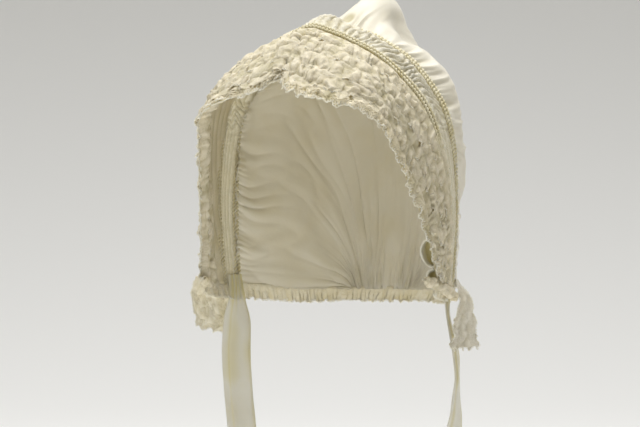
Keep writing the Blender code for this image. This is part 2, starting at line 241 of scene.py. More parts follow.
# The camera stands level, well off, turned to the wearer's left, and sees 0.6 mm for each pixel
VIEW_TURN = math.radians(25)
VIEW_DISTANCE = 2.56
VIEW_SIDE = -0.0066
VIEW_HEIGHT = -0.108
camera_data = bpy.data.cameras.new("camera")
camera_data.lens = 240
camera_data.sensor_width = 36
camera = placed("camera", camera_data)
camera.location = (
    VIEW_SIDE * math.cos(VIEW_TURN) + VIEW_DISTANCE * math.sin(VIEW_TURN),
    VIEW_SIDE * math.sin(VIEW_TURN) - VIEW_DISTANCE * math.cos(VIEW_TURN),
    VIEW_HEIGHT,
)
camera.rotation_euler = (math.pi / 2, 0, VIEW_TURN)
bpy.context.scene.camera = camera


# Points and directions are arrays whose last axis holds x, y and z


def unit(ways):
    """The same directions, each one long."""
    return ways / np.linalg.norm(ways, axis=-1, keepdims=True)


def dot(a, b):
    """How far each direction goes along the other, with its axis kept."""
    return (a * b).sum(axis=-1, keepdims=True)


def eased(low, high, values):
    """0 up to low and 1 from high on, with a soft step between them."""
    share = np.clip((values - low) / (high - low), 0, 1)
    return share * share * (3 - 2 * share)


def cloudy(x, y, size, seed):
    """Smooth random heights from -1 to 1, with lumps about size across."""
    count = 128
    heights = np.random.default_rng(seed).uniform(-1, 1, (count, count))
    x, y = np.broadcast_arrays(np.asarray(x, float) / size, np.asarray(y, float) / size)
    left, low = np.floor(x).astype(int), np.floor(y).astype(int)
    across, rise = x - left, y - low
    across, rise = across * across * (3 - 2 * across), rise * rise * (3 - 2 * rise)

    def at(i, j):
        return heights[(left + i) % count, (low + j) % count]

    front = at(0, 0) * (1 - across) + at(1, 0) * across
    back = at(0, 1) * (1 - across) + at(1, 1) * across
    return front * (1 - rise) + back * rise


def creased(x, y, size, seed):
    """Sharp uneven creases, from -1 in the hollows to 1 on the folds, that wander."""
    bend = 0.45 * size
    x, y = x + bend * cloudy(x, y, size * 1.3, seed), y + bend * cloudy(x, y, size * 1.3, seed + 1)
    return 1 - 2.4 * np.abs(cloudy(x, y, size, seed + 2))


def padded_ends(net, axis):
    """The net with one more row at each end of an axis, straight on from the last two."""
    net = np.moveaxis(net, axis, 0)
    net = np.concatenate([2 * net[:1] - net[1:2], net, 2 * net[-1:] - net[-2:-1]])
    return np.moveaxis(net, 0, axis)


def control_net():
    """The table's points in metres, from the wearer's right to the wearer's left."""
    rows = []
    for widths, depths, heights in ARCHES:
        depths, heights = np.array(depths), np.array(heights)
        x = np.array(widths) * HALF_WIDTH
        y = np.where(depths < 0, depths * FRONT_REACH, depths * BACK_REACH)
        z = np.where(heights < 0, heights * NECK_DROP, heights * TUFT_RISE)
        left = np.stack([x, y, z], axis=1)
        rows.append(np.concatenate([left[:0:-1] * (-1, 1, 1), left]))
    return padded_ends(padded_ends(np.array(rows), 0), 1)


NET = control_net()


def four_shares(t):
    """How much each of four evenly spaced points counts at share t between the middle two."""
    return (
        -0.5 * t + t**2 - 0.5 * t**3,
        1 - 2.5 * t**2 + 1.5 * t**3,
        0.5 * t + 2 * t**2 - 1.5 * t**3,
        -0.5 * t**2 + 0.5 * t**3,
    )


def crease_share(arch, station):
    """How deep the pinched crease in the middle of the brim is, 0 to 1."""
    middle = 0.10 * eased(0.2, 1.8, arch) - 0.12
    ends = eased(-0.2, 0.5, arch) * (1 - eased(1.2, 1.9, arch))
    return np.exp(-(((station - middle) / 0.16) ** 2)) * ends


def skin(arch, station):
    """The cloth's outer surface at arch numbers and station numbers, -END to END."""
    arch, station = np.broadcast_arrays(np.asarray(arch, float), np.asarray(station, float))
    row = np.clip(np.floor(arch), 0, NAPE - 1).astype(int)
    column = np.clip(np.floor(station + END), 0, 2 * END - 1).astype(int)
    row_shares = four_shares(arch - row)
    column_shares = four_shares(station + END - column)
    points = np.zeros(arch.shape + (3,))
    for i in range(4):
        for j in range(4):
            weight = row_shares[i] * column_shares[j]
            points += weight[..., None] * NET[row + i, column + j]
    far_corner = np.exp(-((arch / 0.9) ** 2) - ((station + 3) / 1.4) ** 2)
    points[..., 0] += CORNER_DRAWN_IN * far_corner
    points[..., 0] += TUFT_LEAN * eased(0.004, TUFT_RISE, points[..., 2])
    points[..., 2] -= CREASE_DEPTH * crease_share(arch, station)
    return points


def lie(arch, station):
    """Points of the surface, with the ways outward, along to the wearer's left, and back."""
    step = 0.02
    along = unit(skin(arch, station + step) - skin(arch, station - step))
    back = unit(skin(arch + step, station) - skin(arch - step, station))
    out = unit(np.cross(along, back))
    return skin(arch, station), out, along, back


def evenly(arch, spacing, first=-END, last=END):
    """Stations evenly spaced by length along an arch, and the length up to each."""
    stations = np.linspace(first, last, 1601)
    steps = np.linalg.norm(np.diff(skin(arch, stations), axis=0), axis=1)
    lengths = np.concatenate([[0], np.cumsum(steps)])
    places = np.linspace(0, lengths[-1], round(lengths[-1] / spacing) + 1)
    return np.interp(places, lengths, stations), places


def line_table(rows, places):
    """Smooth values between the rows of a table, at places counted in rows."""
    rows = padded_ends(np.array(rows, float), 0)
    below = np.clip(np.floor(places), 0, len(rows) - 4).astype(int)
    shares = four_shares(places - below)
    return sum(share[:, None] * rows[below + i] for i, share in enumerate(shares))


# Materials


class NodeTree:
    """A tree that is built up node by node."""

    def __init__(self, tree):
        self.tree = tree

    def node(self, kind, settings=None, **inputs):
        """A node whose inputs are set to values, or linked from other nodes' outputs."""
        made = self.tree.nodes.new(kind)
        for key, value in (settings or {}).items():
            setattr(made, key, value)
        for label, value in inputs.items():
            self.feed(made.inputs[label.replace("_", " ")], value)
        return made

    def feed(self, socket, value):
        """Links a socket from another node's output, or sets it to a value."""
        if isinstance(value, bpy.types.NodeSocket):
            self.tree.links.new(value, socket)
        else:
            socket.default_value = value

    def math(self, operation, first, second=0.0):
        """The result of one sum on two values."""
        made = self.node("ShaderNodeMath", {"operation": operation})
        self.feed(made.inputs[0], first)
        self.feed(made.inputs[1], second)
        return made.outputs[0]


class Finish(NodeTree):
    """A node material."""

    def __init__(self, name):
        self.material = bpy.data.materials.new(name)
        self.material.use_nodes = True
        super().__init__(self.material.node_tree)
        self.shader = self.tree.nodes["Principled BSDF"]

    def ramp(self, value, low, high, to_low=0.0, to_high=1.0):
        """The value, moved from one range to another and kept within it."""
        made = self.node("ShaderNodeMapRange", Value=value)
        made.inputs["From Min"].default_value = low
        made.inputs["From Max"].default_value = high
        made.inputs["To Min"].default_value = to_low
        made.inputs["To Max"].default_value = to_high
        return made.outputs[0]

    def mixed(self, share, first, second):
        """The first colour, passing into the second; sockets 6 and 7 take the colours."""
        made = self.node("ShaderNodeMix", {"data_type": "RGBA"}, Factor=share)
        for socket, colour in ((made.inputs[6], first), (made.inputs[7], second)):
            self.feed(socket, colour if not isinstance(colour, tuple) else (*colour, 1))
        return made.outputs[2]

    def noise(self, vector, scale, detail=3.0):
        """Cloudy values, 0 to 1."""
        made = self.node("ShaderNodeTexNoise", Vector=vector, Scale=scale, Detail=detail)
        made.inputs["Roughness"].default_value = 0.55
        return made.outputs["Fac"]

    def place(self):
        """Where a point is, in metres."""
        return self.node("ShaderNodeTexCoord").outputs["Object"]

    def cloth_uv(self):
        """The cloth's own map, in millimetres."""
        return self.node("ShaderNodeUVMap", {"uv_map": "cloth"}).outputs["UV"]

    def height(self):
        """How much painted light a point has from its place on a fold: 0 for painted shade in the
        hollows, 1 on lit crests.
        """
        return self.node("ShaderNodeAttribute", {"attribute_name": "lit_share"}).outputs["Fac"]

    def stretched(self, vector, scale):
        """The map, scaled each way."""
        return self.node("ShaderNodeMapping", Vector=vector, Scale=scale).outputs[0]

    def bump(self, height, distance, strength):
        """Fine relief that is too small for the mesh."""
        made = self.node("ShaderNodeBump", Height=height, Distance=distance, Strength=strength)
        self.feed(self.shader.inputs["Normal"], made.outputs[0])

    def done(self, colour, roughness, sheen=0.0, through=0.0, specular=0.5):
        """Gives the shader its colour and even values, and returns the material."""
        self.feed(self.shader.inputs["Base Color"], colour)
        self.feed(self.shader.inputs["Roughness"], roughness)
        self.shader.inputs["Sheen Weight"].default_value = sheen
        self.shader.inputs["Sheen Roughness"].default_value = 0.4
        self.shader.inputs["Specular IOR Level"].default_value = specular
        if through:
            glow = self.node("ShaderNodeBsdfTranslucent", Color=colour)
            blend = self.node("ShaderNodeMixShader", Fac=through)
            self.feed(blend.inputs[1], self.shader.outputs[0])
            self.feed(blend.inputs[2], glow.outputs[0])
            self.feed(self.tree.nodes["Material Output"].inputs["Surface"], blend.outputs[0])
        return self.material


def wave_weave(finish, uv, per_unit):
    """Crossed threads, 0 to 1, so many to each unit of the cloth's own map."""
    parts = finish.node("ShaderNodeSeparateXYZ", Vector=uv).outputs
    waves = []
    for part in (parts[0], parts[1]):
        angle = finish.math("MULTIPLY", part, 2 * math.pi * per_unit)
        waves.append(finish.math("SINE", angle))
    crossed = finish.math("MULTIPLY", waves[0], waves[1])
    return finish.ramp(crossed, -1, 1)


def shade_and_age_colour(finish, pale, hollow_shade, stain, stain_share):
    """Painted shade: pale on the lit crests, darker and yellower in the shaded hollows, with soft
    uneven ageing stains over it.
    """
    place = finish.place()
    lit_share = finish.ramp(finish.height(), 0.1, 0.65)
    # Painted shade: the hollow colour is laid in the folds' hollows, the pale colour on their
    # crests
    colour = finish.mixed(lit_share, hollow_shade, pale)
    patches = finish.ramp(finish.noise(place, 45.0, 4.0), 0.45, 0.75, 0.0, stain_share)
    return finish.mixed(patches, colour, stain)


def lace_finish(name, pale, hollow_shade, stain, through=0.4):
    """Threads that enclose small eyes with painted shade in them, with closed leaves of cloth among
    them.
    """
    finish = Finish(name)
    colour = shade_and_age_colour(finish, pale, hollow_shade, stain, 0.35)
    uv = finish.cloth_uv()
    settings = {"voronoi_dimensions": "2D", "feature": "DISTANCE_TO_EDGE"}
    cells = finish.node("ShaderNodeTexVoronoi", settings, Vector=uv, Scale=0.72)
    threads = finish.ramp(cells.outputs["Distance"], 0.05, 0.26, 1.0, 0.0)
    leaves = finish.ramp(finish.noise(uv, 0.22, 1.0), 0.50, 0.56)
    closed = finish.math("MAXIMUM", threads, leaves)
    # Painted shade: the eyes take in some of the hollow colour
    eyes = finish.mixed(0.42, colour, hollow_shade)
    fibres = finish.noise(finish.place(), 2600.0, 2.0)
    height = finish.math("ADD", closed, finish.math("MULTIPLY", fibres, 0.5))
    finish.bump(height, 0.00026, 0.7)
    rough = finish.ramp(finish.noise(finish.place(), 300.0), 0.3, 0.7, 0.55, 0.8)
    return finish.done(finish.mixed(closed, eyes, colour), rough, sheen=0.15, through=through)


def satin_finish():
    """Silk with fine threads one way, soft creases and a broad shine."""
    finish = Finish("cream silk satin")
    # The second colour is painted shade for the satin's hollows
    colour = shade_and_age_colour(finish, (0.82, 0.78, 0.66), (0.58, 0.52, 0.30), (0.75, 0.68, 0.48), 0.35)
    threads = finish.noise(finish.stretched(finish.cloth_uv(), (3.2, 0.35, 1.0)), 1.0, 2.0)
    creases = finish.noise(finish.place(), 420.0, 3.0)
    height = finish.math("ADD", threads, finish.math("MULTIPLY", creases, 0.8))
    finish.bump(height, 0.00018, 0.55)
    rough = finish.ramp(threads, 0.3, 0.7, 0.36, 0.5)
    return finish.done(colour, rough, sheen=0.35, through=0.25, specular=0.55)


def ribbon_finish():
    """Silk ribbon, plain woven, with creases that run along it."""
    finish = Finish("cream silk ribbon")
    # The second colour is painted shade for the ribbon's hollows
    colour = shade_and_age_colour(finish, (0.86, 0.84, 0.75), (0.76, 0.69, 0.37), (0.78, 0.73, 0.58), 0.30)
    uv = finish.cloth_uv()
    weave = wave_weave(finish, uv, 1.6)
    creases = finish.noise(finish.stretched(uv, (0.5, 0.06, 1.0)), 1.0, 3.0)
    height = finish.math("ADD", weave, finish.math("MULTIPLY", creases, 3.0))
    finish.bump(height, 0.00014, 0.7)
    rough = finish.ramp(creases, 0.3, 0.7, 0.42, 0.58)
    return finish.done(colour, rough, sheen=0.3, through=0.3)


def cord_finish():
    """Golden cream silk, darker and lighter along the strands."""
    finish = Finish("cream silk cord")
    place = finish.place()
    tone = finish.ramp(finish.noise(place, 160.0), 0.35, 0.65)
    colour = finish.mixed(tone, (0.70, 0.62, 0.36), (0.85, 0.79, 0.58))
    finish.bump(finish.noise(place, 3200.0, 2.0), 0.00012, 0.7)
    rough = finish.ramp(finish.noise(place, 900.0), 0.3, 0.7, 0.42, 0.6)
    return finish.done(colour, rough, sheen=0.2, through=0.2)


def thread_finish():
    """Pale thread for picots and hems."""
    finish = Finish("ivory lace thread")
    place = finish.place()
    tone = finish.ramp(finish.noise(place, 240.0), 0.35, 0.65)
    colour = finish.mixed(tone, (0.90, 0.86, 0.71), (0.96, 0.94, 0.85))
    finish.bump(finish.noise(place, 3600.0, 2.0), 0.00008, 0.6)
    rough = finish.ramp(finish.noise(place, 900.0), 0.3, 0.7, 0.5, 0.7)
    return finish.done(colour, rough, sheen=0.1, through=0.25)


# IVORY is the lace's own pale colour and AMBER its ageing stain; the olive colour is painted shade
# for the hollows of its folds. The second colour given to each finish below is its painted shade.
IVORY = (0.94, 0.88, 0.72)
OLIVE_SHADE = (0.73, 0.67, 0.45)
AMBER = (0.84, 0.76, 0.55)
LACE = lace_finish("ivory lace", IVORY, OLIVE_SHADE, AMBER)
FRAYED = lace_finish("soft hanging lace", (0.88, 0.84, 0.73), (0.68, 0.63, 0.48), AMBER, 0.25)
# This paler copy of the lace is painted lighter, with paler painted shade, to stand for the light
# the front corner and neck frill get.
LIT_CORNER_LACE = lace_finish("pale corner lace", (0.95, 0.92, 0.82), (0.84, 0.79, 0.62), AMBER, 0.5)
GROUND = lace_finish("ivory net ground", (0.90, 0.85, 0.69), (0.78, 0.72, 0.51), AMBER, 0.5)
NET_CLOTH = lace_finish("ivory gathered net", (0.92, 0.89, 0.78), (0.70, 0.65, 0.47), AMBER)
SATIN = satin_finish()
RIBBON = ribbon_finish()
CORD = cord_finish()
THREAD = thread_finish()


# Making pieces


def settle(piece, material, node=None):
    """Gives a piece its finish where it has none, hangs it on the root body, and hides the CAD part
    it stands in for, if one is named.
    """
    if not piece.data.materials:
        piece.data.materials.append(material)
    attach(piece, "root")
    if node:
        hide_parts(node)


def cloth_piece(name, points, lengths, wall, lit_share, holes=None):
    """A sheet through rows of points, thickened away from its outer side.

    lengths holds the cloth's own map in millimetres, the painted light per point is 0 for
    painted shade in the hollows and 1 on lit crests, and holes marks the faces that are left open.
    """
    rows, columns = points.shape[:2]
    index = np.arange(rows * columns).reshape(rows, columns)
    corners = (index[:-1, :-1], index[:-1, 1:], index[1:, 1:], index[1:, :-1])
    faces = np.stack(corners, axis=-1).reshape(-1, 4)
    if holes is not None:
        faces = faces[~holes.ravel()]
    used, faces = np.unique(faces, return_inverse=True)
    faces = faces.reshape(-1, 4)
    mesh = bpy.data.meshes.new(name)
    mesh.from_pydata(points.reshape(-1, 3)[used].tolist(), [], faces.tolist())
    layer = mesh.uv_layers.new(name="cloth")
    own = lengths.reshape(-1, 2)[used][faces.ravel()]
    layer.data.foreach_set("uv", own.astype(np.float32).ravel())
    # The painted light of each point: painted shade in the hollows, lit on the crests
    heights = mesh.attributes.new("lit_share", "FLOAT", "POINT")
    heights.data.foreach_set("value", lit_share.ravel()[used].astype(np.float32))
    mesh.polygons.foreach_set("use_smooth", np.ones(len(faces), dtype=bool))
    mesh.update()
    piece = placed(name, mesh)
    thick = piece.modifiers.new("wall", "SOLIDIFY")
    thick.thickness = wall
    thick.offset = -1
    return piece


def line_piece(name, points, lift):
    """An open line of points, each with a way that leads away from the edge it lies on."""
    mesh = bpy.data.meshes.new(name)
    edges = [(i, i + 1) for i in range(len(points) - 1)]
    mesh.from_pydata(points.tolist(), edges, [])
    ways = mesh.attributes.new("lift", "FLOAT_VECTOR", "POINT")
    ways.data.foreach_set("vector", lift.astype(np.float32).ravel())
    return placed(name, mesh)


class Growth(NodeTree):
    """A Geometry Nodes tree with named inputs, which turns a line into what runs along it."""

    def __init__(self, name, sizes):
        super().__init__(bpy.data.node_groups.new(name, "GeometryNodeTree"))
        face = self.tree.interface
        face.new_socket("Line", in_out="INPUT", socket_type="NodeSocketGeometry")
        for label, value in sizes.items():
            socket = face.new_socket(label, in_out="INPUT", socket_type="NodeSocketFloat")
            socket.default_value = value
        face.new_socket("Finish", in_out="INPUT", socket_type="NodeSocketMaterial")
        face.new_socket("Piece", in_out="OUTPUT", socket_type="NodeSocketGeometry")
        self.start = self.tree.nodes.new("NodeGroupInput")
        self.end = self.tree.nodes.new("NodeGroupOutput")

    def size(self, label):
        """One of the tree's named inputs."""
        return self.start.outputs[label]

    def close(self, geometry):
        """Real geometry with its finish, smooth shaded, is what the tree gives."""
        smooth = self.node("GeometryNodeSetShadeSmooth", Geometry=geometry)
        real = self.node("GeometryNodeRealizeInstances", Geometry=smooth.outputs[0])
        made = self.node(
            "GeometryNodeSetMaterial", Geometry=real.outputs[0], Material=self.size("Finish")
        )
        self.feed(self.end.inputs[0], made.outputs[0])

    def grow(self, name, line, finish, **sizes):
        """The plain mesh that the tree makes of a line."""
        modifier = line.modifiers.new("growth", "NODES")
        modifier.node_group = self.tree
        for socket in self.tree.interface.items_tree:
            if socket.in_out == "INPUT" and socket.name in sizes:
                modifier[socket.identifier] = float(sizes[socket.name])
            elif socket.in_out == "INPUT" and socket.name == "Finish":
                modifier[socket.identifier] = finish
        line.update_tag()
        graph = bpy.context.evaluated_depsgraph_get()
        mesh = bpy.data.meshes.new_from_object(line.evaluated_get(graph))
        mesh.name = name
        piece = placed(name, mesh)
        bpy.data.objects.remove(line)
        return piece


def twisted_cord_growth():
    """Two strands twisted together along the line."""
    growth = Growth("twisted cord", {"Radius": 0.001, "Pitch": 0.0046, "Step": 0.00048})
    curve = growth.node("GeometryNodeMeshToCurve", Mesh=growth.start.outputs["Line"])
    even = growth.node("GeometryNodeResampleCurve", {"mode": "LENGTH"}, Curve=curve.outputs[0])
    growth.feed(even.inputs["Length"], growth.size("Step"))
    run = growth.node("GeometryNodeSplineParameter").outputs["Length"]
    turns = growth.math("DIVIDE", run, growth.size("Pitch"))
    tilt = growth.node("GeometryNodeSetCurveTilt", Curve=even.outputs[0])
    growth.feed(tilt.inputs["Tilt"], growth.math("MULTIPLY", turns, 2 * math.pi))
    ring = growth.node("GeometryNodeCurvePrimitiveCircle", Resolution=12)
    growth.feed(ring.inputs["Radius"], growth.size("Radius"))
    spot = growth.node("GeometryNodeInputPosition").outputs[0]
    parts = growth.node("ShaderNodeSeparateXYZ", Vector=spot).outputs
    angle = growth.math("ARCTAN2", parts[1], parts[0])
    lobes = growth.math("ABSOLUTE", growth.math("COSINE", angle))
    share = growth.math("ADD", growth.math("MULTIPLY", lobes, 0.55), 0.45)
    scaled = growth.node("ShaderNodeVectorMath", {"operation": "SCALE"}, Vector=spot)
    growth.feed(scaled.inputs["Scale"], share)
    lobed = growth.node(
        "GeometryNodeSetPosition", Geometry=ring.outputs[0], Position=scaled.outputs[0]
    )
    made = growth.node("GeometryNodeCurveToMesh", Curve=tilt.outputs[0])
    growth.feed(made.inputs["Profile Curve"], lobed.outputs[0])
    made.inputs["Fill Caps"].default_value = True
    growth.close(made.outputs[0])
    return growth


def picot_growth():
    """Small thread loops, side by side along an edge."""
    growth = Growth("picot edge", {"Spacing": 0.0021, "Loop": 0.0009, "Thread": 0.00028})
    curve = growth.node("GeometryNodeMeshToCurve", Mesh=growth.start.outputs["Line"])
    even = growth.node("GeometryNodeResampleCurve", {"mode": "LENGTH"}, Curve=curve.outputs[0])
    growth.feed(even.inputs["Length"], growth.size("Spacing"))
    arc = growth.node("GeometryNodeCurveArc", {"mode": "RADIUS"}, Resolution=7)
    growth.feed(arc.inputs["Radius"], growth.size("Loop"))
    arc.inputs["Start Angle"].default_value = math.radians(-25)
    arc.inputs["Sweep Angle"].default_value = math.radians(230)
    thread = growth.node("GeometryNodeCurvePrimitiveCircle", Resolution=5)
    growth.feed(thread.inputs["Radius"], growth.size("Thread"))
    loop = growth.node("GeometryNodeCurveToMesh", Curve=arc.outputs[0])
    growth.feed(loop.inputs["Profile Curve"], thread.outputs[0])
    loop.inputs["Fill Caps"].default_value = True
    stood = growth.node("GeometryNodeTransform", Geometry=loop.outputs[0])
    stood.inputs["Rotation"].default_value = (math.pi / 2, 0, 0)
    lift = growth.node("GeometryNodeInputNamedAttribute", {"data_type": "FLOAT_VECTOR"})
    lift.inputs["Name"].default_value = "lift"
    upright = growth.node(
        "FunctionNodeAlignRotationToVector", {"axis": "Z"}, Vector=lift.outputs["Attribute"]
    )
    tangent = growth.node("GeometryNodeInputTangent").outputs[0]
    turned = growth.node(
        "FunctionNodeAlignRotationToVector", {"axis": "X", "pivot_axis": "Z"}, Vector=tangent
    )
    growth.feed(turned.inputs["Rotation"], upright.outputs[0])
    spread = growth.node("GeometryNodeInstanceOnPoints", Points=even.outputs[0])
    growth.feed(spread.inputs["Instance"], stood.outputs[0])
    growth.feed(spread.inputs["Rotation"], turned.outputs[0])
    growth.close(spread.outputs[0])
    return growth


TWISTED_CORD = twisted_cord_growth()
PICOT = picot_growth()


# The three shells


def shell_map(arch_count, first, last, arch_of_length, spacing):
    """A grid of arches and stations over a shell, with the lengths across and down its cloth."""
    stations, places = evenly(arch_of_length, spacing)
    arches = np.linspace(first, last, arch_count)[:, None]
    stations = np.broadcast_to(stations[None, :], (arch_count, len(stations)))
    arches = np.broadcast_to(arches, stations.shape)
    rows = skin(arches, stations)
    steps = np.linalg.norm(np.diff(rows, axis=0), axis=-1)
    down = np.concatenate([np.zeros((1, steps.shape[1])), np.cumsum(steps, axis=0)])
    across = np.broadcast_to(places[None, :], stations.shape)
    return arches, stations, across, down


def own_map(across, down):
    """The cloth's own map, in millimetres across and down it."""
    return np.stack([across, down], axis=-1) * 1000


def build_brim_ground():
    """The net that lies under the rows of lace, and shows on the inner side of the brim."""
    arches, stations, across, down = shell_map(38, 0, BRIM_SEAM, 1, 0.0014)
    points, out = lie(arches, stations)[:2]
    ridges = np.sin(2 * math.pi * (down / 0.0095 + 0.4 * cloudy(across, down, 0.03, 3)))
    crumple = cloudy(across * 0.5, down, 0.006, 4)
    relief = 0.0005 * ridges + 0.0003 * crumple
    points = points + out * relief[..., None]
    # Painted shade follows the relief: the net's hollows are painted darker
    lit_share = 0.55 + 0.3 * ridges + 0.3 * crumple
    piece = cloth_piece("brim_ground", points, own_map(across, down), GROUND_SHEET, lit_share)
    settle(piece, GROUND, "brim")


def build_band():
    """Ruched net between the cords, which hangs in plain folds low on each side."""
    arches, stations, across, down = shell_map(38, BRIM_SEAM, CROWN_SEAM, 3, 0.00065)
    points, out, along = lie(arches, stations)[:3]
    share = (arches - BRIM_SEAM) / (CROWN_SEAM - BRIM_SEAM)
    open_part = np.sin(math.pi * share)
    low = eased(3.5, 4.7, np.abs(stations))
    curl = 0.0019 * np.sin(2 * math.pi * (share * 1.15 + 0.9 * cloudy(across, 0.4, 0.016, 11)))
    curl = curl + 0.0016 * cloudy(across, down, 0.0052, 17)
    rib_run = (across + curl) / BAND_RIB + 0.7 * cloudy(across, down, 0.017, 12)
    small_run = (across - curl) / BAND_FINE_RIB + cloudy(across, down, 0.006, 18)
    fold_run = arches * 2.6 + 0.5 * cloudy(across * 0.4, down, 0.02, 14)
    ribs = np.abs(np.sin(math.pi * rib_run))
    small = np.abs(np.sin(math.pi * small_run))
    folds = np.abs(np.sin(math.pi * fold_run))
    uneven = 0.65 + 0.35 * cloudy(across, down, 0.0085, 13)
    ruched = 0.0029 * (ribs - 0.45) * uneven + 0.0007 * (small - 0.5)
    hanging = 0.0008 * (folds - 0.5) + 0.0002 * (small - 0.5)
    relief = ruched * (0.4 + 0.6 * open_part) * (1 - low) + hanging * low
    relief = relief + 0.0009 * open_part * (1 - low)
    shift = 0.0011 * cloudy(across, down, 0.0034, 16) * open_part * (1 - low)
    points = points + out * relief[..., None] + along * shift[..., None]
    # Painted shade follows the ribs and the low folds: their hollows are painted darker
    lit_share = np.clip(0.34 + 0.75 * (ribs - 0.45) * (1 - low) + 0.4 * (folds - 0.3) * low, 0, 1)
    piece = cloth_piece("band_net", points, own_map(across, down), NET_SHEET, lit_share)
    settle(piece, NET_CLOTH, "band")


def build_crown():
    """The satin bag, gathered at the cords and at the nape, with its tuft on top."""
    arches, stations, across, down = shell_map(78, CROWN_SEAM, NAPE, CROWN_SEAM, 0.00085)
    points, out = lie(arches, stations)[:2]
    from_nape = down[-1:] - down
    reach = 0.0085 + 0.0035 * cloudy(across, 0.1, 0.011, 26)
    near_cords = np.exp(-((down / reach) ** 2))
    fade = np.exp(-((down / 0.026) ** 2))
    near_nape = np.exp(-((from_nape / 0.018) ** 2))
    wander = 0.8 * cloudy(across, down * 0.3, 0.012, 21)
    fine = np.abs(np.sin(math.pi * (across / CROWN_GATHER + wander))) - 0.5
    wide = creased(across, down * 0.16, CROWN_FOLD, 24)
    soft = cloudy(across, down, 0.024, 27)
    creases = creased(across * 1.4, down * 0.45, CROWN_CREASE, 28)
    nape = creased(across, from_nape * 0.2, NAPE_FOLD, 32)
    relief = 0.0013 * fine * near_cords + 0.0014 * wide * fade + 0.0009 * nape * near_nape
    relief = relief + 0.0010 * soft * (1 - near_cords) + 0.0005 * creases * (1 - near_cords)
    tuft = eased(0.006, 0.016, points[..., 2])
    fold = np.exp(-(((stations + 0.62) / 0.10) ** 2)) * tuft
    pocket = np.exp(-(((stations + 0.15) / 0.35) ** 2) - ((arches - 4.62) / 0.22) ** 2)
    relief = relief - 0.0012 * fold - 0.0022 * pocket
    pleat = np.exp(-(((stations - 4.55) / 0.30) ** 2) - ((arches - 5.4) / 0.55) ** 2)
    relief = relief + 0.0020 * eased(0.2, 0.9, pleat)
    points = points + out * relief[..., None]
    # Painted shade follows the gathers and relief, and is laid deeper in the tuft's fold and pocket
    lit_share = 0.74 + 0.4 * fine * near_cords + relief / 0.0060
    lit_share = np.clip(lit_share - 0.35 * fold - 0.9 * pocket, 0, 1)
    piece = cloth_piece("crown_satin", points, own_map(across, down), SATIN_SHEET, lit_share)
    settle(piece, SATIN, "crown")


# Frills of lace over the brim

END_TAPER = 0.45


def rim_net(shape, free_first, every):
    """Faces of a lace grid to leave out: rows of small eyelets beside the free edge."""
    row, column = np.mgrid[0 : shape[0] - 1, 0 : shape[1] - 1]
    if not free_first:
        row = shape[0] - 2 - row
    first = (row == 2) & (column % every < 2)
    second = (row == 4) & ((column + every // 2) % every < 2)
    third = (row == 6) & (column % every < 2)
    return first | second | third


